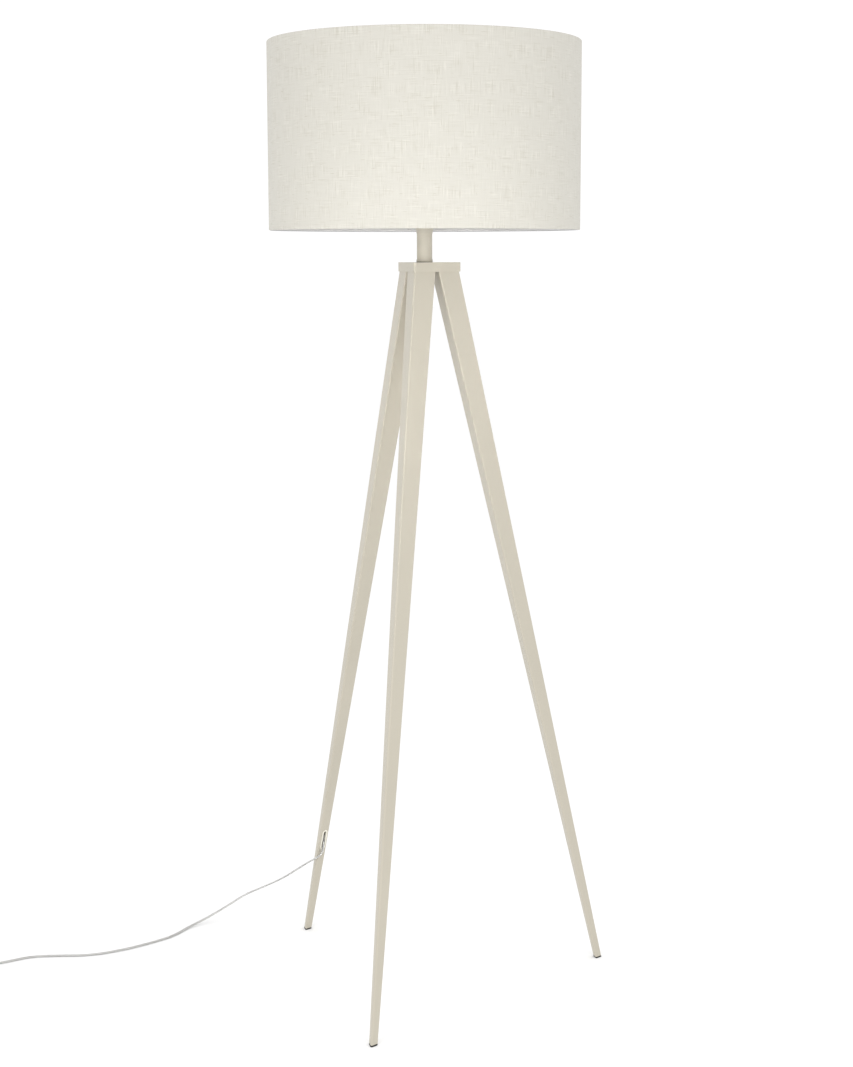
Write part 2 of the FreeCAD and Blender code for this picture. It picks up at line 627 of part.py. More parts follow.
def rounded_path(points, label):
    """Wire of straight runs with tangent arcs, each arc as large as its runs allow."""
    corners = [Vector(*point) for point in points]
    edges = []
    radii = []
    at = corners[0]
    for before, corner, after in zip(corners, corners[1:], corners[2:]):
        back = before - corner
        ahead = after - corner
        reach = 0.45 * min(back.Length, ahead.Length)
        back.normalize()
        ahead.normalize()
        half_turn = (math.pi - back.getAngle(ahead)) / 2
        radius = reach / math.tan(half_turn)
        start = corner + back * reach
        end = corner + ahead * reach
        bisector = (back + ahead).normalize()
        middle = corner + bisector * (radius / math.cos(half_turn) - radius)
        edges.append(Part.LineSegment(at, start).toShape())
        edges.append(Part.Arc(start, middle, end).toShape())
        radii.append(radius)
        at = end
    edges.append(Part.LineSegment(at, corners[-1]).toShape())
    print(label, "radii", " ".join("%.0f" % radius for radius in radii))
    return Part.Wire(edges)


def cord_tube(node, points):
    """Round tube along a route; its volume is compared with its section times its length."""
    path = rounded_path(points, node)
    start = Vector(*points[0])
    heading = Vector(*points[1]) - start
    profile = Part.Wire(Part.makeCircle(CORD_RADIUS, start, heading))
    tube = path.makePipeShell([profile], True, False)
    expected = math.pi * CORD_RADIUS ** 2 * path.Length
    print(node, "length %.1f volume ratio %.4f" % (path.Length, tube.Volume / expected))
    keep(node, tube)
    return path.Length


def free_route():
    """Route from the slot to the switch; its hanging part keeps its place from the slot."""
    shift = slot_frame().Base - Vector(*ROUTE_SLOT)
    last = len(ROUTE_TO_SWITCH) - 1
    route = []
    for index, point in enumerate(ROUTE_TO_SWITCH):
        share = 1 - max(0, index - HANGING_POINTS) / (last - HANGING_POINTS)
        on_floor = Vector(shift.x, shift.y, 0) * share
        route.append(Vector(*point) + (shift if index < HANGING_POINTS else on_floor))
    return route


def make_inside_cord():
    """The flex from the lamp holder down the stem, over the plate and down its leg."""
    polar = LEG_POLAR["cord"]
    passage = leg_reach(LEG_TOP_Z)
    profile = [
        (0.0, STEM_TOP_Z + 14.0), (0.0, PLATE_TOP_Z + 19.0),
        (STEM_RADIUS, PLATE_TOP_Z + 5.4), (passage - 1.2, PLATE_TOP_Z + 2.5),
        (passage + 4.8, PLATE_TOP_Z - 9.0), (leg_reach(LEG_TOP_Z - 40), LEG_TOP_Z - 40),
        (leg_reach(226), 226),
    ]
    points = [tuple(polar_vector(polar, reach, z)) for reach, z in profile]
    end, after = free_route()[:2]
    heading = (end - after).normalize()
    return cord_tube("cord_inside", points + [tuple(end + heading * EXIT_RUN), tuple(end)])


def make_grommet():
    neck_length = SLOT_LENGTH - 2 * GROMMET_FIT
    neck_width = SLOT_WIDTH - 2 * GROMMET_FIT
    neck = obround(neck_length, neck_width, -LEG_WALL - GROMMET_TAIL, GROMMET_SEAT)
    lip = 2 * GROMMET_FLANGE_LIP
    flange = obround(SLOT_LENGTH + lip, SLOT_WIDTH + lip, GROMMET_SEAT, GROMMET_FLANGE)
    hole = obround(neck_length - 2 * GROMMET_WALL, neck_width - 2 * GROMMET_WALL, -9, 9)
    body = neck.fuse(flange).removeSplitter().cut(hole)
    keep("slot_grommet", placed(body, slot_frame()))


# ---------------------------------------------------------------- foot switch


def rounded_box(length, width, corner, low, high):
    """Upright box along x with rounded plan corners, centred on the axis."""
    box = Part.makeBox(length, width, high - low, Vector(-length / 2, -width / 2, low))
    upright = [edge for edge in box.Edges if abs(edge.Vertexes[0].Z - edge.Vertexes[1].Z) > 1]
    return box.makeFillet(corner, upright)


def top_edges(shape, z):
    return [edge for edge in shape.Edges if all(abs(v.Z - z) < 1e-6 for v in edge.Vertexes)]


def switch_place(shape):
    """Move a piece from the switch's own frame, x towards the plug's end, to where it lies."""
    copy = turned(shape, SWITCH_POLAR)
    copy.translate(Vector(SWITCH_CENTRE[0], SWITCH_CENTRE[1], 0))
    return copy


def make_switch():
    wall = SWITCH_WALL
    split = SWITCH_SPLIT_Z
    top = SWITCH_HEIGHT
    inner = (SWITCH_LENGTH - 2 * wall, SWITCH_WIDTH - 2 * wall, SWITCH_CORNER - wall)
    mouth = Part.makeCylinder(RELIEF_TIP_RADIUS, SWITCH_LENGTH + 20,
                              Vector(-SWITCH_LENGTH / 2 - 10, 0, SWITCH_CORD_Z), Vector(1, 0, 0))
    aside = SWITCH_WIDTH / 2 - wall - SWITCH_SCREW_FROM_WALL
    post_spots = [(end * SWITCH_SCREW_SPREAD, side * aside) for end in (-1, 1) for side in (-1, 1)]

    base = rounded_box(SWITCH_LENGTH, SWITCH_WIDTH, SWITCH_CORNER, 0, split)
    base = base.cut(rounded_box(*inner, wall, split + 1)).cut(mouth)
    cover = rounded_box(SWITCH_LENGTH, SWITCH_WIDTH, SWITCH_CORNER, split, top)
    cover = cover.makeFillet(SWITCH_EDGE_FILLET, top_edges(cover, top))
    cover = cover.cut(rounded_box(*inner, split - 1, top - wall))
    cover = cover.cut(disc(BUTTON_RADIUS + BUTTON_GAP, split, top + 1))
    screws = []
    for x, y in post_spots:
        post = disc(SWITCH_POST_RADIUS, wall, split, x, y)
        base = base.fuse(post)
        cover_post = disc(SWITCH_POST_RADIUS, split, top - wall, x, y)
        cover_post = cover_post.cut(disc(SWITCH_SCREW_RADIUS + THREAD_CLEARANCE, split, split + 7, x, y))
        cover = cover.fuse(cover_post)
        base = base.cut(disc(SWITCH_SCREW_HEAD + 0.2, -1, 3.0, x, y))
        base = base.cut(disc(SWITCH_SCREW_RADIUS + SCREW_HOLE_CLEARANCE, 2, split + 1, x, y))
        head = disc(SWITCH_SCREW_HEAD, 1.2, 3.0, x, y)
        shank = disc(SWITCH_SCREW_RADIUS, 3.0, split + 6, x, y)
        screws.append(switch_place(head.fuse(shank).removeSplitter()))
    keep("switch_base", switch_place(base.removeSplitter()))
    keep("switch_cover", switch_place(cover.removeSplitter()))
    keep("switch_screws", *screws)

    button_top = top + BUTTON_PROUD
    flange_top = top - wall - 0.1
    flange_low = flange_top - BUTTON_FLANGE
    crown = disc(BUTTON_RADIUS, flange_low, button_top)
    crown = crown.makeFillet(1.6, top_edges(crown, button_top))
    flange = disc(BUTTON_RADIUS + 2.0, flange_low, flange_top)
    cavity = disc(BUTTON_RADIUS - 2.0, flange_low - 1, button_top - 2.0)
    keep("switch_button", switch_place(crown.fuse(flange).removeSplitter().cut(cavity)))

    spring_low = wall + 4.0
    spring_high = button_top - 2.0
    keep("switch_spring", switch_place(ring(SPRING_RADIUS, SPRING_RADIUS - SPRING_WALL,
                                            spring_low + SPRING_SEAT, spring_high - SPRING_SEAT)))
    keep("switch_spring_seat", switch_place(disc(SPRING_RADIUS + 1.2, wall, spring_low)))

    length, width, height = TERMINAL_BLOCK
    blocks = []
    for side in (-1, 1):
        corner = Vector(side * TERMINAL_BLOCK_SPREAD - length / 2,
                        -TERMINAL_BLOCK_ASIDE - width / 2, wall)
        block = Part.makeBox(length, width, height, corner)
        blocks.append(switch_place(block))
    keep("switch_terminals", *blocks)

    for side, node in ((-1, "switch_relief_in"), (1, "switch_relief_out")):
        root = Vector(side * SWITCH_LENGTH / 2, 0, SWITCH_CORD_Z)
        out = Vector(side, 0, 0)
        cone = Part.makeCone(RELIEF_ROOT_RADIUS, RELIEF_TIP_RADIUS, RELIEF_LENGTH, root, out)
        stub = Part.makeCylinder(RELIEF_TIP_RADIUS - 0.1, 6.0, root - out * 6.0, out)
        keep(node, switch_place(cone.fuse(stub).removeSplitter()))


def switch_end(side):
    """Tip of the strain relief at one end of the switch, and the way out of it."""
    out = polar_vector(SWITCH_POLAR, side)
    tip = Vector(SWITCH_CENTRE[0], SWITCH_CENTRE[1], SWITCH_CORD_Z)
    return tip + out * (SWITCH_LENGTH / 2 + RELIEF_LENGTH), out


# ---------------------------------------------------------------- plug, coil and tie


def plug_x():
    """The plug lies in line with the turn of the coil that it leaves."""
    return COIL_CENTRE[0] - COIL_MEAN_RADIUS


def make_plug():
    """Flat two-pin plug that lies on the floor, its pins along +Y."""
    middle = PLUG_THICKNESS / 2
    tail_y = PLUG_TAIL_Y
    face_y = tail_y + PLUG_LENGTH
    sections = []
    shape_rows = (
        (0.0, PLUG_TAIL_WIDTH, PLUG_TAIL_THICKNESS),
        (9.0, PLUG_TAIL_WIDTH + 6, PLUG_TAIL_THICKNESS + 1),
        (24.0, PLUG_FACE_WIDTH, PLUG_THICKNESS),
        (PLUG_LENGTH, PLUG_FACE_WIDTH, PLUG_THICKNESS),
    )
    for step, width, thickness in shape_rows:
        sections.append(stadium_wire(plug_x(), tail_y + step, middle, width, thickness))
    body = Part.makeLoft(sections, True, True)
    relief = Part.makeCone(RELIEF_TIP_RADIUS, RELIEF_ROOT_RADIUS - 0.4, RELIEF_LENGTH,
                           Vector(plug_x(), tail_y - RELIEF_LENGTH, middle), Vector(0, 1, 0))
    body = body.fuse(relief)
    for side in (-1, 1):
        x = plug_x() + side * PIN_SPACING / 2
        root = Vector(x, face_y - PIN_ROOT, middle)
        ahead = Vector(0, 1, 0)
        hole_radius = PIN_ROOT_RADIUS + PIN_ROOT_CLEARANCE
        body = body.cut(Part.makeCylinder(hole_radius, PIN_ROOT + 1, root, ahead))
        pin = Part.makeCylinder(PIN_RADIUS, PIN_LENGTH, Vector(x, face_y, middle), ahead)
        tip_y = face_y + PIN_LENGTH
        tip_edges = [e for e in pin.Edges if all(abs(v.Y - tip_y) < 1e-6 for v in e.Vertexes)]
        pin = pin.makeFillet(PIN_TIP_FILLET, tip_edges)
        pin = pin.fuse(Part.makeCylinder(PIN_ROOT_RADIUS, PIN_ROOT, root, ahead))
        keep("plug_pin_left" if side < 0 else "plug_pin_right", pin)
    keep("plug_body", body)


def stadium_wire(x, y, z, width, thickness):
    """Outline with round ends in the plane across +Y."""
    radius = thickness / 2
    half = width / 2 - radius
    a = Vector(x - half, y, z - radius)
    b = Vector(x + half, y, z - radius)
    c = Vector(x + half, y, z + radius)
    d = Vector(x - half, y, z + radius)
    return Part.Wire([
        Part.LineSegment(a, b).toShape(),
        Part.Arc(b, Vector(x + half + radius, y, z), c).toShape(),
        Part.LineSegment(c, d).toShape(),
        Part.Arc(d, Vector(x - half - radius, y, z), a).toShape(),
    ])


def make_coil():
    x, y = COIL_CENTRE
    outer = COIL_MEAN_RADIUS + COIL_BUILD / 2
    inner = COIL_MEAN_RADIUS - COIL_BUILD / 2
    keep("cord_coil", ring(outer, inner, 0, COIL_HEIGHT, x, y))

    gap = TIE_GAP
    wall = TIE_THICKNESS
    reach = outer + gap + wall - (inner - gap - wall)
    high = COIL_HEIGHT + gap + wall
    loop = Part.makeBox(reach, TIE_WIDTH, high, Vector(inner - gap - wall, -TIE_WIDTH / 2, 0))
    band = ring(outer + gap, inner - gap, -1, COIL_HEIGHT + gap)
    loop = turned(loop.cut(band), TIE_POLAR)
    loop.translate(Vector(x, y, 0))
    keep("coil_tie", loop)


def make_free_cord():
    """The flex from the slot to the switch, from the switch to the coil, and on to the plug."""
    tip, out = switch_end(-1)
    route = free_route() + [tip + out * RELIEF_RUN, tip]
    total = cord_tube("cord_to_switch", [tuple(point) for point in route])

    tip, out = switch_end(1)
    x, y = COIL_CENTRE
    level = COIL_HEIGHT / 2
    enter = Vector(x + COIL_MEAN_RADIUS, y, level)
    points = [tip, tip + out * RELIEF_RUN, enter + Vector(0, RELIEF_RUN, 0), enter]
    total += cord_tube("cord_to_coil", [tuple(point) for point in points])

    tail = Vector(plug_x(), PLUG_TAIL_Y - RELIEF_LENGTH, PLUG_THICKNESS / 2)
    leave = Vector(x - COIL_MEAN_RADIUS, y, level)
    run = Vector(0, RELIEF_RUN, 0)
    points = [leave, leave + run, tail - run, tail]
    total += cord_tube("cord_to_plug", [tuple(point) for point in points])
    return total


# ---------------------------------------------------------------- build


def main():
    make_legs()
    make_cap()
    make_stem()
    seat = make_holder()
    make_ring_nuts()
    make_bulb(seat)
    make_shade()
    make_grommet()
    inside = make_inside_cord()
    make_switch()
    make_plug()
    make_coil()
    free = make_free_cord()
    print("cord inside the lamp %.0f, free and not coiled %.0f" % (inside, free))

    os.makedirs("parts", exist_ok=True)
    for node, shape in PARTS.items():
        shape.exportStep(os.path.join("parts", node + ".step"))
    print(len(PARTS), "nodes")


main()
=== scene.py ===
"""Looks of the tripod floor lamp: powder-coated legs, linen drum shade, clear twin flex."""

import json
import math
import random

import bmesh
import bpy
from mathutils import Matrix, Vector


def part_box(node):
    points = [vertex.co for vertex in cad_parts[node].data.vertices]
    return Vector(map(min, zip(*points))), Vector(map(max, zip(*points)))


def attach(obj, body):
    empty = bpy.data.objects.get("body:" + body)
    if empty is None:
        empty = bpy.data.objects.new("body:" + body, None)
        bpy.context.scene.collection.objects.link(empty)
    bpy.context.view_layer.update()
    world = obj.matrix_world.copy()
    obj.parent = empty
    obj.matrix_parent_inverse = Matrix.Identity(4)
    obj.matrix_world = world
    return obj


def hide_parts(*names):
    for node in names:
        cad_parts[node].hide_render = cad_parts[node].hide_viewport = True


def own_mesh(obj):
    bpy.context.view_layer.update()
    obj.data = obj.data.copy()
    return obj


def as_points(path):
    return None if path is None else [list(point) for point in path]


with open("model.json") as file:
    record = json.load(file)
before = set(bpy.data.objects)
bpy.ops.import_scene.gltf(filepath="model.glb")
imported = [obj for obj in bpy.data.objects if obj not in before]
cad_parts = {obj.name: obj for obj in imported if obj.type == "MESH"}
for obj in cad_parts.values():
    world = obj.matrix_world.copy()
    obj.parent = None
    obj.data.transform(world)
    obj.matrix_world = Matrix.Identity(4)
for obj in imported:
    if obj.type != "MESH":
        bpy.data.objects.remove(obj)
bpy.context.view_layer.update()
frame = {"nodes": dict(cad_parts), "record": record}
NODES = frame["nodes"]
MM = 0.001

# ------------------------------------------------------------------ camera

FOCAL_MM = 64.24
CAMERA_AZIMUTH = math.radians(15.576)
CAMERA_DISTANCE = 3.1054
CAMERA_HEIGHT = 1.2184
PITCH = math.radians(8.41)
YAW = math.radians(0.042)
ROLL = math.radians(-0.109)


def make_camera():
    turn = Matrix.Rotation(CAMERA_AZIMUTH, 3, "Z")
    forward = turn @ Vector((math.sin(YAW) * math.cos(PITCH),
                             math.cos(YAW) * math.cos(PITCH), -math.sin(PITCH)))
    level = turn @ Vector((math.cos(YAW), -math.sin(YAW), 0))
    upright = level.cross(forward)
    right = level * math.cos(ROLL) + upright * math.sin(ROLL)
    up = -level * math.sin(ROLL) + upright * math.cos(ROLL)
    place = turn @ Vector((0, -CAMERA_DISTANCE, CAMERA_HEIGHT))
    data = bpy.data.cameras.new("camera")
    data.sensor_width = 36.0
    data.lens = FOCAL_MM
    data.clip_end = 100.0
    camera = bpy.data.objects.new("camera", data)
    bpy.context.scene.collection.objects.link(camera)
    columns = Matrix((right, up, -forward)).transposed()
    camera.matrix_world = Matrix.Translation(place) @ columns.to_4x4()
    bpy.context.scene.camera = camera


make_camera()

# ------------------------------------------------------------------ shader nodes


class Shader:
    """A material under construction, with short names for the nodes it needs."""

    def __init__(self, name, colour, roughness, **sockets):
        self.material = bpy.data.materials.new(name)
        self.material.use_nodes = True
        self.tree = self.material.node_tree
        self.bsdf = self.tree.nodes["Principled BSDF"]
        self.bsdf.inputs["Base Color"].default_value = (*colour, 1)
        self.bsdf.inputs["Roughness"].default_value = roughness
        for key, value in sockets.items():
            self.bsdf.inputs[key.replace("_", " ")].default_value = value
        self.coordinates = self.add("ShaderNodeTexCoord").outputs["Object"]
        self.uv = self.tree.nodes[-1].outputs["UV"]

    def add(self, kind, **settings):
        node = self.tree.nodes.new(kind)
        for key, value in settings.items():
            setattr(node, key, value)
        return node

    def link(self, value, socket):
        if isinstance(value, bpy.types.NodeSocket):
            self.tree.links.new(value, socket)
        else:
            socket.default_value = value

    def math(self, operation, a, b=0.0, c=0.0, clamp=False):
        node = self.add("ShaderNodeMath", operation=operation, use_clamp=clamp)
        for value, socket in zip((a, b, c), node.inputs):
            self.link(value, socket)
        return node.outputs[0]

    def vector(self, x, y, z=0.0):
        node = self.add("ShaderNodeCombineXYZ")
        for value, socket in zip((x, y, z), node.inputs):
            self.link(value, socket)
        return node.outputs[0]

    def split(self, vector):
        node = self.add("ShaderNodeSeparateXYZ")
        self.link(vector, node.inputs[0])
        return node.outputs

    def scaled(self, vector, x, y, z):
        node = self.add("ShaderNodeVectorMath", operation="MULTIPLY")
        self.link(vector, node.inputs[0])
        node.inputs[1].default_value = (x, y, z)
        return node.outputs[0]

    def noise(self, vector, scale, detail=2.0, roughness=0.5):
        node = self.add("ShaderNodeTexNoise")
        self.link(vector, node.inputs["Vector"])
        node.inputs["Scale"].default_value = scale
        node.inputs["Detail"].default_value = detail
        node.inputs["Roughness"].default_value = roughness
        return node.outputs["Fac"]

    def remap(self, value, low, high, to_low=0.0, to_high=1.0):
        node = self.add("ShaderNodeMapRange")
        self.link(value, node.inputs["Value"])
        for key, number in (("From Min", low), ("From Max", high),
                            ("To Min", to_low), ("To Max", to_high)):
            node.inputs[key].default_value = number
        return node.outputs["Result"]

    def mix(self, factor, first, second):
        node = self.add("ShaderNodeMix", data_type="RGBA")
        self.link(factor, node.inputs["Factor"])
        for value, socket in ((first, node.inputs["A"]), (second, node.inputs["B"])):
            self.link(value if isinstance(value, bpy.types.NodeSocket) else (*value, 1), socket)
        return node.outputs["Result"]

    def colour(self, value):
        self.link(value, self.bsdf.inputs["Base Color"])

    def roughness(self, value):
        self.link(value, self.bsdf.inputs["Roughness"])

    def bump(self, height, distance, strength):
        node = self.add("ShaderNodeBump")
        node.inputs["Strength"].default_value = strength
        node.inputs["Distance"].default_value = distance
        self.link(height, node.inputs["Height"])
        self.link(node.outputs[0], self.bsdf.inputs["Normal"])


def rgb(red, green, blue, gain=1.0):
    """Linear colour from display values out of 255."""
    found = []
    for value in (red, green, blue):
        share = value / 255
        linear = share / 12.92 if share <= 0.04045 else ((share + 0.055) / 1.055) ** 2.4
        found.append(gain * linear)
    return tuple(found)


def shaded(colour, gain):
    return tuple(min(1.0, value * gain) for value in colour)


# ------------------------------------------------------------------ materials

# Shares of the display colours, because the surround and the two key lights add up to more than 1
PAINT_SHARE = 0.715
# The stem's paint is a lighter copy of the legs' paint: painted light on the stem below the shade.
STEM_PAINTED_LIGHT_SHARE = 0.755
LINEN_SHARE = 0.68
LINING_SHARE = 0.72
# The tape is painted darker than the lining: painted shade on the rims' undersides.
TAPE_PAINTED_SHADE_SHARE = 0.60
PLASTIC_SHARE = 0.9


def powder_coat(name="powder_coat", share=PAINT_SHARE):
    """Matt stone-coloured powder coat with its fine orange peel and a few paler flecks."""
    base = shaded(rgb(217, 210, 193), share)
    s = Shader(name, base, 0.38, Specular_IOR_Level=0.4)
    cloud = s.noise(s.coordinates, 7.0, 3.0)
    fleck = s.noise(s.coordinates, 900.0, 2.0, 0.6)
    tone = s.mix(s.remap(cloud, 0.3, 0.7), shaded(base, 0.975), shaded(base, 1.02))
    tone = s.mix(s.remap(fleck, 0.55, 0.8, 0.0, 0.35), tone, shaded(base, 1.12))
    s.colour(tone)
    s.roughness(s.remap(s.noise(s.coordinates, 260.0, 2.0), 0.3, 0.7, 0.33, 0.44))
    peel = s.noise(s.coordinates, 620.0, 2.0, 0.55)
    s.bump(peel, 0.00012, 0.35)
    return s.material


def rubber():
    """Black rubber with a dusty bloom."""
    s = Shader("rubber", (0.021, 0.020, 0.019), 0.72, Specular_IOR_Level=0.35)
    grain = s.noise(s.coordinates, 1500.0, 3.0, 0.7)
    bloom = s.remap(s.noise(s.coordinates, 120.0), 0.4, 0.7)
    s.colour(s.mix(bloom, (0.019, 0.018, 0.017), (0.042, 0.040, 0.038)))
    s.bump(grain, 0.0002, 0.4)
    return s.material


def metal(name, colour, roughness):
    """Metal with fine turned lines round its axis and a little tarnish."""
    s = Shader(name, colour, roughness, Metallic=1.0)
    lines = s.noise(s.scaled(s.coordinates, 1.0, 1.0, 0.03), 1200.0, 2.0, 0.6)
    cloud = s.noise(s.coordinates, 45.0, 3.0, 0.6)
    s.colour(s.mix(s.remap(cloud, 0.35, 0.75), colour, shaded(colour, 0.78)))
    s.roughness(s.remap(lines, 0.3, 0.7, roughness * 0.8, roughness * 1.3))
    s.bump(lines, 0.00005, 0.3)
    return s.material


def moulded(name, colour, roughness, texture=0.25):
    """Moulded plastic with a fine spark-eroded texture."""
    s = Shader(name, colour, roughness, Specular_IOR_Level=0.5)
    cloud = s.noise(s.coordinates, 60.0, 2.0)
    s.colour(s.mix(s.remap(cloud, 0.3, 0.7), shaded(colour, 0.96), shaded(colour, 1.03)))
    s.roughness(s.remap(s.noise(s.coordinates, 350.0), 0.3, 0.7, roughness * 0.85, roughness * 1.2))
    s.bump(s.noise(s.coordinates, 2600.0, 2.0, 0.6), 0.00006, texture)
    return s.material


def threaded(name, colour, roughness, pitch):
    """Moulded plastic with an outside screw thread turned into it."""
    s = Shader(name, colour, roughness, Specular_IOR_Level=0.5)
    x, y, z = s.split(s.coordinates)
    turn = s.math("MULTIPLY", s.math("ARCTAN2", y, x), 1 / math.tau)
    rise = s.math("ADD", s.math("MULTIPLY", z, 1 / pitch), turn)
    crest = s.math("PINGPONG", rise, 0.5)
    # The thread's grooves are painted darker than its crests: painted shade in the grooves.
    s.colour(s.mix(s.remap(crest, 0.0, 0.5), shaded(colour, 0.8), colour))
    s.bump(crest, pitch * 0.5, 0.6)
    return s.material


def ceramic():
    """Glazed ceramic with a few specks in its glaze."""
    body = (0.78, 0.77, 0.73)
    s = Shader("ceramic", body, 0.22, Specular_IOR_Level=0.55, Coat_Weight=0.4, Coat_Roughness=0.08)
    spots = s.noise(s.coordinates, 420.0, 3.0, 0.65)
    s.colour(s.mix(s.remap(spots, 0.62, 0.75, 0.0, 0.5), body, (0.55, 0.51, 0.45)))
    s.bump(s.noise(s.coordinates, 160.0, 2.0), 0.0002, 0.25)
    return s.material


def glass(name, tint, roughness, ripple=0.15):
    """Blown glass, its surface not quite even."""
    s = Shader(name, tint, roughness, Transmission_Weight=1.0, IOR=1.46)
    s.bump(s.noise(s.coordinates, 35.0, 1.0), 0.0004, ripple)
    return s.material


def filament():
    """Phosphor-coated filament, unlit: an even row of small chips under amber gel."""
    s = Shader("filament", (0.86, 0.55, 0.16), 0.5)
    chips = s.math("PINGPONG", s.math("MULTIPLY", s.split(s.coordinates)[2], 620.0), 0.5)
    s.colour(s.mix(s.remap(chips, 0.1, 0.4), (0.74, 0.38, 0.08), (0.93, 0.68, 0.25)))
    s.bump(chips, 0.0003, 0.4)
    return s.material


SEAM_POLAR = math.radians(112.0)
SHADE_RADIUS = 0.25
YARN = 0.00085              # from one yarn to the next
WANDER = 0.0009             # how far a yarn strays to each side


def linen():
    """Plain-woven ecru linen look: two sets of yarns with thick and thin places."""
    base = shaded(rgb(237, 234, 224), LINEN_SHARE)
    s = Shader("linen", base, 0.88, Specular_IOR_Level=0.2, Sheen_Weight=0.12, Sheen_Roughness=0.5)
    turn = s.add("ShaderNodeVectorRotate", rotation_type="Z_AXIS")
    s.link(s.coordinates, turn.inputs["Vector"])
    turn.inputs["Angle"].default_value = math.pi - SEAM_POLAR
    x, y, z = s.split(turn.outputs[0])
    around = s.math("MULTIPLY", s.math("ARCTAN2", y, x), SHADE_RADIUS)

    def streaks(stretch_around, stretch_up, seed=0.0, detail=1.5):
        place = s.vector(s.math("MULTIPLY", around, stretch_around),
                         s.math("MULTIPLY", z, stretch_up), seed)
        return s.noise(place, 1.0, detail)

    def crossings(count, other_count):
        rows = s.math("ADD", count, s.math("FLOOR", other_count))
        swing = s.math("SINE", s.math("MULTIPLY", rows, math.pi))
        return s.math("ADD", s.math("ABSOLUTE", swing), 0.4)

    wander_across = s.noise(s.vector(around, z), 55.0, 2.0)
    wander_up = s.noise(s.vector(around, z, 3.0), 55.0, 2.0)
    across = s.math("ADD", around, s.remap(wander_across, 0.0, 1.0, -WANDER, WANDER))
    up = s.math("ADD", z, s.remap(wander_up, 0.0, 1.0, -WANDER, WANDER))
    warp_count = s.math("MULTIPLY", across, 1 / YARN)
    weft_count = s.math("MULTIPLY", up, 1 / YARN)
    warp = s.math("PINGPONG", warp_count, 0.5)
    weft = s.math("PINGPONG", weft_count, 0.5)
    weave = s.math("ADD", s.math("MULTIPLY", warp, crossings(warp_count, weft_count)),
                   s.math("MULTIPLY", weft, crossings(weft_count, warp_count)))

    lying = streaks(34.0, 560.0)
    standing = streaks(560.0, 34.0, 5.0)
    thick_lying = streaks(60.0, 640.0, 9.0, 1.0)
    thick_standing = streaks(640.0, 60.0, 13.0, 1.0)
    patch = s.noise(s.vector(around, z, 21.0), 38.0, 2.0, 0.6)

    pale = shaded(rgb(247, 244, 234), LINEN_SHARE)
    dark = shaded(rgb(225, 221, 208), LINEN_SHARE)
    slub = shaded(rgb(209, 202, 184), LINEN_SHARE)
    loose = s.remap(patch, 0.40, 0.62, 0.25, 1.0)
    tone = s.mix(s.math("MULTIPLY", s.remap(lying, 0.56, 0.70), loose), base, pale)
    tone = s.mix(s.math("MULTIPLY", s.remap(lying, 0.44, 0.30), loose), tone, dark)
    tone = s.mix(s.math("MULTIPLY", s.remap(standing, 0.56, 0.70), loose), tone, pale)
    tone = s.mix(s.math("MULTIPLY", s.remap(standing, 0.44, 0.30), loose), tone, dark)
    tone = s.mix(s.remap(thick_lying, 0.70, 0.78, 0.0, 0.8), tone, slub)
    tone = s.mix(s.remap(thick_standing, 0.71, 0.79, 0.0, 0.7), tone, slub)
    # The low places between the yarns are painted a little darker: painted shade in the weave.
    tone = s.mix(s.remap(weave, 0.05, 0.5, 0.15, 0.0), tone, slub)
    s.colour(tone)

    slubs = s.math("ADD", s.remap(thick_lying, 0.62, 0.8), s.remap(thick_standing, 0.63, 0.8))
    height = s.math("ADD", weave, s.math("MULTIPLY", slubs, 0.5))
    s.bump(height, 0.00035, 0.35)
    return s.material


def lining():
    """White laminated shade lining, satin, with the weave behind it just showing."""
    base = shaded(rgb(242, 241, 239), LINING_SHARE)
    s = Shader("lining", base, 0.42, Specular_IOR_Level=0.4)
    cloud = s.noise(s.coordinates, 14.0, 2.0)
    s.colour(s.mix(s.remap(cloud, 0.3, 0.7), shaded(base, 0.975), base))
    s.bump(s.noise(s.scaled(s.coordinates, 1, 1, 0.5), 700.0, 2.0), 0.0001, 0.2)
    return s.material


def hem_tape_painted_shade():
    """Woven tape glued round the rim wires, painted grey-white: painted shade on the rims'
    undersides.
    """
    base = shaded(rgb(206, 205, 207), TAPE_PAINTED_SHADE_SHARE)
    s = Shader("hem_tape_painted_shade", base, 0.7, Sheen_Weight=0.1)
    x, y, _ = s.split(s.coordinates)
    ribs = s.math("PINGPONG", s.math("MULTIPLY", s.math("ARCTAN2", y, x), 320.0), 0.5)
    # The tape is painted darker between its ribs: painted shade in the grooves.
    s.colour(s.mix(s.remap(ribs, 0.0, 0.3), shaded(base, 0.88), base))
    s.bump(ribs, 0.0002, 0.4)
    return s.material


def clear_jacket():
    """Clear PVC: glossy, very slightly yellowed, with a faint extrusion ripple."""
    s = Shader("clear_jacket", (0.97, 0.97, 0.95), 0.12, Transmission_Weight=0.9, IOR=1.5)
    s.bump(s.noise(s.coordinates, 240.0, 2.0), 0.0001, 0.2)
    return s.material


def strands():
    """Tinned copper strands twisted under the jacket."""
    s = Shader("strands", (0.72, 0.71, 0.70), 0.32, Metallic=0.85)
    u, v, _ = s.split(s.uv)
    lay = s.math("ADD", s.math("MULTIPLY", u, 7.0), s.math("MULTIPLY", v, 160.0))
    crest = s.math("PINGPONG", lay, 0.5)
    # The strands are painted darker between them and paler on their crests: painted shade and
    # painted highlight.
    s.colour(s.mix(s.remap(crest, 0.0, 0.5), (0.52, 0.515, 0.51), (0.88, 0.87, 0.86)))
    s.bump(crest, 0.0002, 0.6)
    return s.material


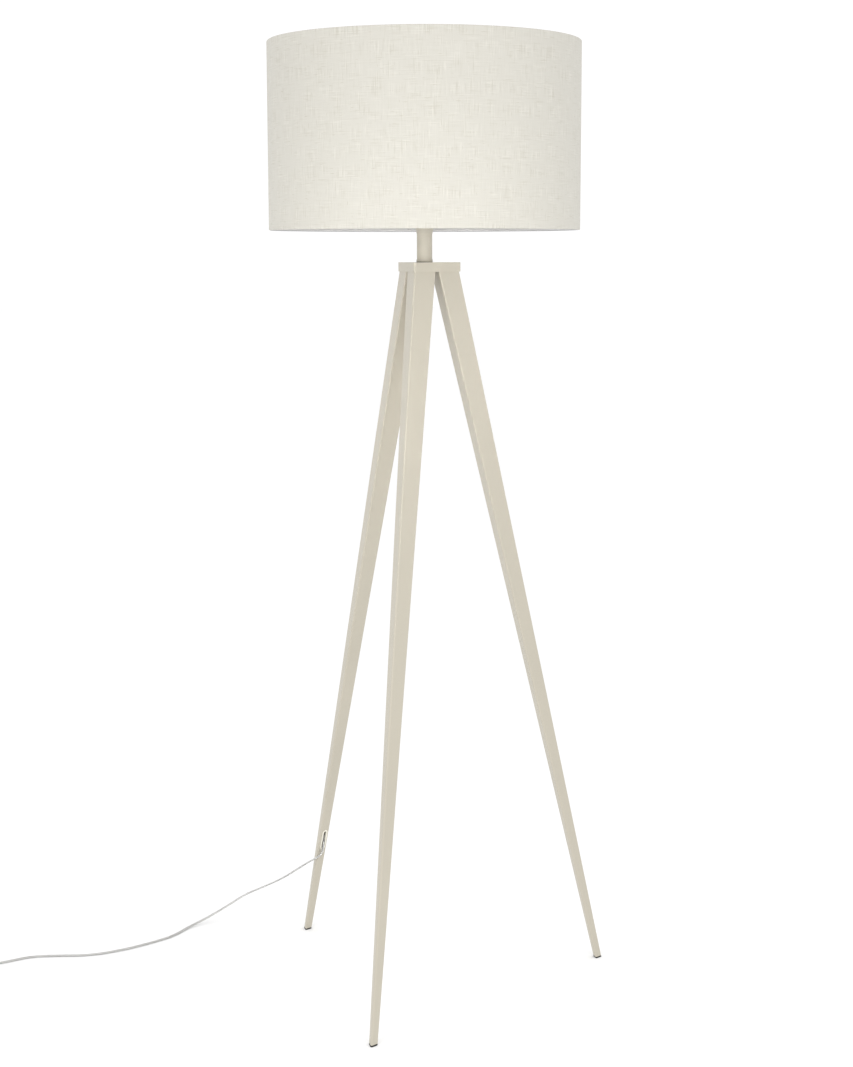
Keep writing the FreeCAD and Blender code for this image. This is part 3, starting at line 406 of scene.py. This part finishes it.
def strap():
    """Woven tie strap."""
    s = Shader("strap", (0.55, 0.54, 0.51), 0.9, Sheen_Weight=0.2)
    x, y, z = s.split(s.coordinates)
    rows = s.math("PINGPONG", s.math("MULTIPLY", s.math("ADD", x, z), 900.0), 0.5)
    cross = s.math("PINGPONG", s.math("MULTIPLY", s.math("SUBTRACT", y, z), 900.0), 0.5)
    weave = s.math("MAXIMUM", rows, cross)
    # The weave's low places are painted darker than its raised yarns: painted shade in the weave.
    s.colour(s.mix(s.remap(weave, 0.2, 0.5), (0.38, 0.37, 0.35), (0.60, 0.59, 0.56)))
    s.bump(weave, 0.0004, 0.5)
    return s.material


MATERIALS = {
    "frame_paint": powder_coat(),
    "foot_rubber": rubber(),
    "steel": metal("steel", (0.56, 0.56, 0.57), 0.30),
    "holder_plastic": moulded("holder_plastic", rgb(236, 233, 226, PLASTIC_SHARE), 0.40),
    "ceramic": ceramic(),
    "brass": metal("brass", (0.80, 0.60, 0.27), 0.26),
    "bulb_metal": metal("bulb_metal", (0.66, 0.66, 0.67), 0.28),
    "bulb_glass": glass("bulb_glass", (0.98, 0.97, 0.93), 0.02),
    "bulb_inner_glass": glass("bulb_inner_glass", (0.93, 0.95, 0.93), 0.06, 0.3),
    "filament": filament(),
    "linen": linen(),
    "shade_lining": lining(),
    "wire_coating": moulded("wire_coating", rgb(240, 238, 233, PLASTIC_SHARE), 0.45, 0.3),
    "grommet_plastic": moulded("grommet_plastic", rgb(244, 240, 226, 0.95), 0.34),
    "cord_clear": clear_jacket(),
    "tie": strap(),
    "fitting_plastic": moulded("fitting_plastic", rgb(238, 236, 230, PLASTIC_SHARE), 0.36),
    "button_plastic": moulded("button_plastic", rgb(226, 223, 216, PLASTIC_SHARE), 0.30),
    "pin_metal": metal("pin_metal", (0.72, 0.69, 0.62), 0.22),
}
SHELL_THREAD_PITCH = 0.0025
OWN_FINISH = {
    "holder_shell": threaded("threaded_shell", rgb(236, 233, 226, PLASTIC_SHARE), 0.40,
                             SHELL_THREAD_PITCH),
    # Lighter copy of the frame paint for the stem: painted light on it.
    "stem_tube": powder_coat("stem_coat_painted_light", STEM_PAINTED_LIGHT_SHARE),
}
FITTING = MATERIALS["fitting_plastic"]


def dress_nodes():
    """Give every carried-over node the finish of its slot, or its own where it has one."""
    slot_of = {part["node"]: part["material_slot"] for part in frame["record"]["subparts"]}
    for name, node in NODES.items():
        finish = OWN_FINISH.get(name, MATERIALS[slot_of[name]])
        if not node.material_slots:
            node.data.materials.append(finish)
        for holder in node.material_slots:
            holder.material = finish


dress_nodes()

# ------------------------------------------------------------------ making pieces


def mesh_piece(name, vertices, faces, material, uvs=None):
    mesh = bpy.data.meshes.new(name)
    mesh.from_pydata(vertices, [], faces)
    if uvs is not None:
        layer = mesh.uv_layers.new(name="UVMap")
        for loop in mesh.loops:
            layer.data[loop.index].uv = uvs[loop.vertex_index]
    mesh.validate()
    for polygon in mesh.polygons:
        polygon.use_smooth = True
    mesh.materials.append(material)
    piece = bpy.data.objects.new(name, mesh)
    bpy.context.scene.collection.objects.link(piece)
    return piece


def face_outward(piece):
    shape = bmesh.new()
    shape.from_mesh(piece.data)
    bmesh.ops.recalc_face_normals(shape, faces=shape.faces)
    shape.to_mesh(piece.data)
    shape.free()


def grid_faces(rows, columns, closed_columns=False, closed_rows=False):
    faces = []
    for row in range(rows if closed_rows else rows - 1):
        for column in range(columns if closed_columns else columns - 1):
            right = (column + 1) % columns
            down = (row + 1) % rows
            faces.append((row * columns + column, row * columns + right,
                          down * columns + right, down * columns + column))
    return faces


# ------------------------------------------------------------------ flex

CORD_THICKNESS = 0.0028
LOBE = 0.0012               # from the middle to the middle of each core
SWITCH_MIDDLE = Vector((-0.770, -0.252, 0.0))
SWITCH_AXIS = Vector((math.cos(math.radians(255)), math.sin(math.radians(255)), 0))
SWITCH_SIDE = Vector((-SWITCH_AXIS.y, SWITCH_AXIS.x, 0))
CORD_IN_SWITCH_Z = 0.0065
SWITCH_END = 0.040          # from its middle to the root of a strain relief
SWITCH_RELIEF_ROOT = 0.0050
PLUG_RELIEF_ROOT = 0.0046
RELIEF_LENGTH = 0.022
RELIEF_TIP = 0.0034
RELIEF_BORE = 0.00268
COIL_MIDDLE = Vector((-0.8191, -0.342, 0.0))
COIL_INNER = 0.0258
COLUMN = 0.0028             # from one turn to the turn beside it
LAYER_LOW = 0.0028
LAYER_HIGH = 0.0081
COIL_TURNS = 4.5
POINTS_PER_TURN = 16
COIL_IN = Vector((-0.7880, -0.3350, 0.0030))
COIL_OUT = Vector((-0.8500, -0.3370, 0.0080))
PLUG_LINE_X = -0.8477
PLUG_LINE_Z = 0.00685

ROUTE = [
    (-0.2268, 0.1309, 0.1760), (-0.2268, 0.1309, 0.1575), (-0.2315, 0.1226, 0.1495),
    (-0.2490, 0.1188, 0.1395), (-0.2730, 0.1310, 0.1215), (-0.3150, 0.1540, 0.0898),
    (-0.3600, 0.1760, 0.0630), (-0.3990, 0.1820, 0.0430), (-0.4290, 0.1610, 0.0230),
    (-0.4590, 0.1310, 0.0070), (-0.4780, 0.0960, 0.0016), (-0.4850, 0.0520, 0.0016),
    (-0.5080, 0.0120, 0.0016), (-0.5450, -0.0380, 0.0016), (-0.5900, -0.0770, 0.0016),
    (-0.6420, -0.0920, 0.0016), (-0.6880, -0.1090, 0.0016), (-0.7160, -0.1440, 0.0016),
    (-0.7380, -0.1640, 0.0030),
]


def ease(value):
    value = min(1.0, max(0.0, value))
    return value * value * (3 - 2 * value)


def switch_run():
    """Straight into the switch, past its spring and out again, along the switch's own axis."""
    run = ((-74, 0), (-62, 0), (-50, 0), (-38, 0), (-28, 0.8), (-14, 9.4), (0, 10.4),
           (14, 9.4), (28, 0.8), (38, 0), (50, 0), (62, 0), (74, 0))
    for along, aside in run:
        place = SWITCH_MIDDLE + SWITCH_AXIS * (along * MM) + SWITCH_SIDE * (aside * MM)
        yield (place.x, place.y, CORD_IN_SWITCH_Z)


def coil_run():
    """Three turns inwards on the floor, then one and a half outwards on top of them."""
    step = 1 / POINTS_PER_TURN
    spread = 1 / math.cos(math.pi * step)
    for count in range(int(COIL_TURNS * POINTS_PER_TURN) + 1):
        turn = count * step
        column = 2 - min(2, int(turn) + ease((turn % 1 - 0.7) / 0.25))
        column += ease((turn - 3.15) / 0.3) + ease((turn - 4.15) / 0.3)
        layer = ease((turn - 2.42) / 0.28)
        reach = (COIL_INNER + COLUMN * column) * spread
        angle = -math.tau * turn
        yield (COIL_MIDDLE.x + reach * math.cos(angle), COIL_MIDDLE.y + reach * math.sin(angle),
               LAYER_LOW + (LAYER_HIGH - LAYER_LOW) * layer)


def plug_run(leave):
    """From the last turn of the coil to the plug, which lies beside it."""
    x = PLUG_LINE_X
    return [(leave[0], -0.3330, leave[2]), (-0.8489, -0.3215, 0.0076), (x, -0.3120, 0.0069),
            (x, -0.3010, PLUG_LINE_Z), (x, -0.2930, PLUG_LINE_Z)]


def cord_route():
    coil = list(coil_run())
    lead = [(-0.7893, -0.3270, 0.0040)]
    return ROUTE + list(switch_run()) + lead + coil[1:] + plug_run(coil[-1])


def spline_points(route, per_span):
    """The smooth line that the route's points control."""
    data = bpy.data.curves.new("line", "CURVE")
    data.dimensions = "3D"
    data.resolution_u = per_span
    spline = data.splines.new("NURBS")
    spline.points.add(len(route) - 1)
    for point, place in zip(spline.points, route):
        point.co = (*place, 1)
    spline.order_u = 3
    spline.use_endpoint_u = True
    holder = bpy.data.objects.new("line", data)
    mesh = bpy.data.meshes.new_from_object(holder)
    line = [vertex.co.copy() for vertex in mesh.vertices]
    bpy.data.objects.remove(holder)
    bpy.data.curves.remove(data)
    bpy.data.meshes.remove(mesh)
    kept = [line[0]]
    for place in line[1:]:
        if (place - kept[-1]).length > 0.0004:
            kept.append(place)
    return kept


def lengths_along(line):
    along = [0.0]
    for before, after in zip(line, line[1:]):
        along.append(along[-1] + (after - before).length)
    return along


def cord_frames(line):
    """For each point of the line, the way across its flat side and the way through it.

    The flex lies flat on the floor and stands on edge in the coil.
    """
    along = lengths_along(line)
    count = len(line)
    headings = []
    for index in range(count):
        ahead = line[min(index + 1, count - 1)] - line[max(index - 1, 0)]
        headings.append(ahead.normalized())
    level = [None] * count
    for index, heading in enumerate(headings):
        if math.hypot(heading.x, heading.y) > 0.75:
            level[index] = Vector((-heading.y, heading.x, 0)).normalized()
    first = next(side for side in level if side is not None)
    sides = []
    for side in level:
        sides.append(side if side is not None else (sides[-1] if sides else first))
    smooth = []
    for index in range(count):
        total = Vector()
        for other in range(max(0, index - 5), min(count, index + 6)):
            total += sides[other]
        smooth.append(total.normalized())
    coil_start = min(range(count), key=lambda index: (line[index] - COIL_IN).length)
    coil_end = min(range(count), key=lambda index: (line[index] - COIL_OUT).length)
    frames = []
    for index, heading in enumerate(headings):
        rise = ease((along[index] - along[coil_start] + 0.030) / 0.030)
        fall = ease((along[index] - along[coil_end]) / 0.026)
        tilt = math.pi / 2 * (rise - fall)
        side = (smooth[index] - heading * smooth[index].dot(heading)).normalized()
        through = heading.cross(side).normalized()
        across = side * math.cos(tilt) + through * math.sin(tilt)
        frames.append((across, heading.cross(across).normalized()))
    return frames, along


def flex_outline(steps=10):
    """Outline of the two-core jacket: two lobes with a shallow groove between them."""
    lobe = CORD_THICKNESS / 2
    outline = []
    for index in range(steps + 1):
        angle = -math.pi / 2 - 0.32 + (math.pi + 0.64) * index / steps
        outline.append((LOBE + lobe * math.cos(angle), lobe * math.sin(angle)))
    return outline + [(-x, -y) for x, y in outline]


def swept(name, line, frames, along, outline, material, offset=0.0):
    """Tube with a given outline along the line, closed at both ends."""
    vertices = []
    uvs = []
    count = len(outline)
    for place, (across, through), far in zip(line, frames, along):
        for index, (x, y) in enumerate(outline):
            vertices.append(place + across * (x + offset) + through * y)
            uvs.append((index / count, far))
    faces = grid_faces(len(line), count, closed_columns=True)
    faces.append(tuple(range(count - 1, -1, -1)))
    last = (len(line) - 1) * count
    faces.append(tuple(range(last, last + count)))
    piece = mesh_piece(name, vertices, faces, material, uvs=uvs)
    face_outward(piece)
    return piece


def make_flex():
    route = cord_route()
    line = spline_points(route, 5)
    frames, along = cord_frames(line)
    jacket = swept("flex_jacket", line, frames, along, flex_outline(), MATERIALS["cord_clear"])
    cores = []
    core_outline = [(0.00078 * math.cos(math.tau * k / 10), 0.00078 * math.sin(math.tau * k / 10))
                    for k in range(10)]
    finish = strands()
    for side, name in ((-1, "flex_core_left"), (1, "flex_core_right")):
        core = swept(name, line, frames, along, core_outline, finish, side * LOBE)
        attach(core, "frame")
        cores.append(core)
    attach(jacket, "frame")
    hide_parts("cord_to_switch", "cord_to_coil", "cord_coil", "cord_to_plug")
    return jacket, cores, line


JACKET, CORES, LINE = make_flex()


def turned_piece(name, profile, place, axis, material, steps=48):
    """Solid of revolution: profile is (distance along the axis, radius), closed on itself."""
    turn = axis.to_track_quat("Z", "Y").to_matrix()
    vertices = []
    for far, reach in profile:
        for step in range(steps):
            angle = math.tau * step / steps
            offset = Vector((reach * math.cos(angle), reach * math.sin(angle), far))
            vertices.append(place + turn @ offset)
    faces = grid_faces(len(profile), steps, closed_columns=True, closed_rows=True)
    piece = mesh_piece(name, vertices, faces, material)
    face_outward(piece)
    return piece


def relief_profile(length, root, tip, bore, grooves=5):
    """Tapered strain relief with grooves that let it bend."""
    plain_end = 0.003
    groove = ((0.0, 0.0), (0.0002, 0.0002), (0.0005, 0.0009),
              (0.0012, 0.0010), (0.0015, 0.0003), (0.0017, 0.0001))
    outer = [(0.0, root)]
    pitch = (length - 2 * plain_end) / grooves
    for index in range(grooves):
        at = plain_end + pitch * index
        here = root + (tip - root) * at / length
        outer += [(at + along, here - depth) for along, depth in groove]
    outer += [(length - 0.0008, tip + 0.0001), (length - 0.0002, tip - 0.0002),
              (length, tip - 0.0006)]
    return outer + [(length, bore), (0.0, bore)]


def make_reliefs():
    pieces = []
    for side, node in ((-1, "switch_relief_in"), (1, "switch_relief_out")):
        root = SWITCH_MIDDLE + SWITCH_AXIS * side * SWITCH_END + Vector((0, 0, CORD_IN_SWITCH_Z))
        profile = relief_profile(RELIEF_LENGTH, SWITCH_RELIEF_ROOT, RELIEF_TIP, RELIEF_BORE)
        piece = turned_piece(node + "_ribbed", profile, root, SWITCH_AXIS * side, FITTING)
        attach(piece, "frame")
        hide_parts(node)
        pieces.append(piece)
    return pieces


RELIEFS = make_reliefs()


def superellipse(width, thickness, power, steps):
    """Outline between an ellipse, with power 2, and a rectangle, with a high one."""
    outline = []
    for step in range(steps):
        angle = math.tau * step / steps
        across, up = math.cos(angle), math.sin(angle)
        outline.append((width / 2 * math.copysign(abs(across) ** (2 / power), across),
                        thickness / 2 * math.copysign(abs(up) ** (2 / power), up)))
    return outline


PLUG_LENGTH = 0.036
# Along the plug from its tail, width and thickness there in mm, and how square its section is
PLUG_SECTIONS = (
    (0.0, 13.0, 10.0, 2.2), (0.6, 13.6, 10.6, 2.3), (4.0, 14.6, 10.9, 2.4), (9.0, 17.0, 11.3, 2.5),
    (14.0, 21.0, 12.2, 2.7), (19.0, 27.0, 13.2, 3.0), (24.0, 33.4, 13.7, 3.3),
    (29.0, 34.9, 13.7, 3.4), (33.5, 35.0, 13.7, 3.5), (35.4, 34.6, 13.3, 3.5),
    (36.0, 33.4, 12.2, 3.4),
)


def make_plug():
    """Flat plug body that widens from its tail to its face, and its ribbed relief."""
    low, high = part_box("plug_body")
    x = (low.x + high.x) / 2
    z = PLUG_LINE_Z
    tail_y = high.y - PLUG_LENGTH
    steps = 56
    vertices = []
    for at, width, thickness, power in PLUG_SECTIONS:
        for across, up in superellipse(width * MM, thickness * MM, power, steps):
            vertices.append((x + across, tail_y + at * MM, z + up))
    faces = grid_faces(len(PLUG_SECTIONS), steps, closed_columns=True)
    faces.append(tuple(range(steps - 1, -1, -1)))
    faces.append(tuple(range((len(PLUG_SECTIONS) - 1) * steps, len(PLUG_SECTIONS) * steps)))
    body = mesh_piece("plug_shell", vertices, faces, FITTING)
    face_outward(body)
    subdivision = body.modifiers.new("smooth", "SUBSURF")
    subdivision.levels = 1
    subdivision.render_levels = 1
    tail = Vector((x, tail_y, z))
    profile = relief_profile(RELIEF_LENGTH, PLUG_RELIEF_ROOT, RELIEF_TIP, RELIEF_BORE)
    relief = turned_piece("plug_relief_ribbed", profile, tail, Vector((0, -1, 0)), FITTING)
    for piece in (body, relief):
        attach(piece, "frame")
    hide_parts("plug_body")
    return [body, relief]


PLUG = make_plug()


TIE_POLAR = math.radians(262.0)


def make_tie():
    """Flat strap round the coil, its corners soft."""
    out = Vector((math.cos(TIE_POLAR), math.sin(TIE_POLAR), 0))
    side = Vector((-out.y, out.x, 0))
    inner, outer, top = 0.0229, 0.0341, 0.0112
    thick, half, bevel = 0.0008, 0.0035, 0.0003
    corner = 0.0018
    floor_gap = 0.0002
    path = []
    for centre, start in (((outer - corner, corner), -90), ((outer - corner, top - corner), 0),
                          ((inner + corner, top - corner), 90), ((inner + corner, corner), 180)):
        for step in range(7):
            angle = math.radians(start + 15 * step)
            path.append((centre[0] + corner * math.cos(angle), centre[1] + corner * math.sin(angle),
                         math.cos(angle), math.sin(angle)))
    section = ((-half, 0.0), (-half + bevel, thick), (half - bevel, thick), (half, 0.0))
    vertices = []
    for reach, height, away, lift in path:
        for across, depth in section:
            proud = depth - thick * 0.5
            place = COIL_MIDDLE + out * (reach + away * proud) + side * across
            vertices.append((place.x, place.y, max(floor_gap, height + lift * proud)))
    faces = grid_faces(len(path), len(section), closed_columns=True, closed_rows=True)
    piece = mesh_piece("tie_strap", vertices, faces, MATERIALS["tie"])
    face_outward(piece)
    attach(piece, "frame")
    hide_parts("coil_tie")
    return piece


TIE = make_tie()

SPRING_WIRE = 0.00045       # half its thickness
SPRING_TURNS = 5.0
SPRING_END = 0.12           # share of its length that lies flat at each end


def make_spring():
    """Coil spring under the switch's button, which flattens as the button goes down."""
    low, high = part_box("switch_spring")
    middle = (low + high) / 2
    reach = (high.x - low.x) / 2 - SPRING_WIRE
    bottom = low.z + SPRING_WIRE
    rise = high.z - low.z - 2 * SPRING_WIRE
    steps = 140
    sides = 8
    up = Vector((0, 0, 1))
    vertices = []
    for step in range(steps + 1):
        share = step / steps
        angle = math.tau * SPRING_TURNS * share
        outward = Vector((math.cos(angle), math.sin(angle), 0))
        height = bottom + rise * ease((share - SPRING_END) / (1 - 2 * SPRING_END))
        place = Vector((middle.x, middle.y, height)) + outward * reach
        for side in range(sides):
            around = math.tau * side / sides
            away = outward * math.cos(around) + up * math.sin(around)
            vertices.append(place + away * SPRING_WIRE)
    faces = grid_faces(steps + 1, sides, closed_columns=True)
    faces.append(tuple(range(sides - 1, -1, -1)))
    faces.append(tuple(range(steps * sides, (steps + 1) * sides)))
    spring = mesh_piece("spring_coil", vertices, faces, MATERIALS["steel"])
    face_outward(spring)
    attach(spring, "frame")
    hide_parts("switch_spring")
    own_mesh(spring)
    return spring


SPRING = make_spring()

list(CORES)
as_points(LINE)

# ------------------------------------------------------------------ shade

CLOTH = 0.00045             # the linen's thickness
CLOTH_REACH = 0.24975       # from the axis to the middle of its thickness
CLOTH_INSET = 0.00012       # so that its waves stay inside the drum's own radius
LAP = 0.012
LAP_LIFT = 0.0005           # how far the lap stands on the turn under it
HEM_START = 0.004           # where the flat wall goes over into the hem, from the rim
WIRE_REACH = 0.2465
WIRE_FROM_RIM = 0.0026
HEM_TURN = 0.0023           # radius of the tape's turn round the wire


def rolled_edge(edge_z, way, steps=9):
    """Half section of the hem: over the liner's edge, round the wire and back behind it."""
    wire_z = edge_z - way * WIRE_FROM_RIM
    top = edge_z - way * CLOTH / 2
    points = [(CLOTH_REACH, edge_z - way * HEM_START), (CLOTH_REACH, edge_z - way * 0.0014),
              (0.24955, edge_z - way * 0.0006), (0.24905, top - way * 0.00005), (0.2482, top)]
    for step in range(steps):
        angle = math.radians(80 + 190 * step / (steps - 1))
        points.append((WIRE_REACH + HEM_TURN * math.cos(angle),
                       wire_z + way * HEM_TURN * math.sin(angle)))
    points.append((0.2478, wire_z - way * 0.0030))
    points.append((0.2483, wire_z - way * 0.0048))
    return points


def make_shade():
    """One sheet of linen wrapped once round the drum, lapped at the back.

    Its hems roll over the two rim wires.
    """
    low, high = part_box("shade_fabric")
    tall = high.z - low.z
    bottom = rolled_edge(low.z, -1)
    top = rolled_edge(high.z, 1)
    rows = 22
    middle = []
    for row in range(1, rows):
        middle.append((CLOTH_REACH, low.z + HEM_START + (tall - 2 * HEM_START) * row / rows))
    section = list(reversed(bottom)) + middle + top
    columns = 420
    whole = math.tau + LAP / SHADE_RADIUS
    uneven = random.Random(7)
    waves = [(uneven.randint(3, 11), uneven.uniform(0, math.tau), uneven.uniform(0.00002, 0.00005))
             for _ in range(5)]
    vertices = []
    for reach, z in section:
        in_wall = reach > CLOTH_REACH - CLOTH / 2
        swell = math.sin(math.pi * (z - low.z) / tall) if in_wall else 0.0
        for column in range(columns + 1):
            turn = whole * column / columns
            polar = SEAM_POLAR + turn
            lift = LAP_LIFT * ease((turn - math.tau + 0.012) / 0.02)
            wave = sum(size * math.sin(order * polar + phase) for order, phase, size in waves)
            far = reach + lift + wave * swell - CLOTH_INSET
            vertices.append((far * math.cos(polar), far * math.sin(polar), z))
    faces = grid_faces(len(section), columns + 1)
    piece = mesh_piece("shade_linen", vertices, faces, MATERIALS["linen"])
    piece.data.materials.append(MATERIALS["shade_lining"])
    piece.data.materials.append(hem_tape_painted_shade())
    # The turned-in rows under the wire, the rims' undersides, take the grey tape as painted shade;
    # the rows going back up inside take the lining.
    outside_rows = 5
    tape_rows = 4
    turned_in = len(bottom) - outside_rows
    for polygon in piece.data.polygons:
        row = polygon.vertices[0] // (columns + 1)
        from_edge = min(row, len(section) - 2 - row)
        if from_edge < turned_in:
            polygon.material_index = 1 if from_edge < turned_in - tape_rows else 2
    face_outward(piece)
    thickness = piece.modifiers.new("thickness", "SOLIDIFY")
    thickness.thickness = CLOTH
    thickness.offset = 0.0
    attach(piece, "shade")
    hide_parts("shade_fabric")


make_shade()

# ------------------------------------------------------------------ floor and light


SURROUND = 1.04
FLOOR_RADIUS = 40.0
FLOOR_DROP = 0.0002


def make_floor():
    """Plain white floor, so wide that its edge is out of every view."""
    s = Shader("floor", (0.97, 0.97, 0.97), 0.9, Specular_IOR_Level=0.0)
    s.roughness(s.remap(s.noise(s.coordinates, 3.0), 0.3, 0.7, 0.88, 0.95))
    shape = bmesh.new()
    bmesh.ops.create_circle(shape, cap_ends=True, radius=FLOOR_RADIUS, segments=96)
    mesh = bpy.data.meshes.new("floor")
    shape.to_mesh(mesh)
    shape.free()
    mesh.materials.append(s.material)
    floor = bpy.data.objects.new("floor", mesh)
    floor.location = (0, 0, -FLOOR_DROP)
    bpy.context.scene.collection.objects.link(floor)


def make_light(name, azimuth, distance, height, size, power, aim, spread=180.0, shines=True):
    """Soft disc light on the camera's side, turned to the lamp's axis at the height of aim."""
    data = bpy.data.lights.new(name, "AREA")
    data.shape = "DISK"
    data.size = size
    data.energy = power
    data.spread = math.radians(spread)
    light = bpy.data.objects.new(name, data)
    polar = math.radians(azimuth)
    place = Vector((distance * math.sin(polar), -distance * math.cos(polar), height))
    light.location = place
    light.visible_glossy = shines
    light.rotation_euler = (Vector((0, 0, aim)) - place).to_track_quat("-Z", "Y").to_euler()
    bpy.context.scene.collection.objects.link(light)


def make_world():
    world = bpy.data.worlds.new("studio")
    world.use_nodes = True
    background = world.node_tree.nodes["Background"]
    background.inputs["Color"].default_value = (1.0, 1.0, 1.0, 1)
    background.inputs["Strength"].default_value = SURROUND
    bpy.context.scene.world = world


make_floor()
make_world()
for side, azimuth in (("key_left", -15.0), ("key_right", 44.0)):
    make_light(side, azimuth, distance=2.8, height=1.4, size=0.8, power=12.8, aim=1.1)
make_light("low", 12.0, distance=2.4, height=0.9, size=0.5, power=0.24, aim=1.13,
           spread=20.0, shines=False)
bpy.context.scene.view_settings.view_transform = "Standard"
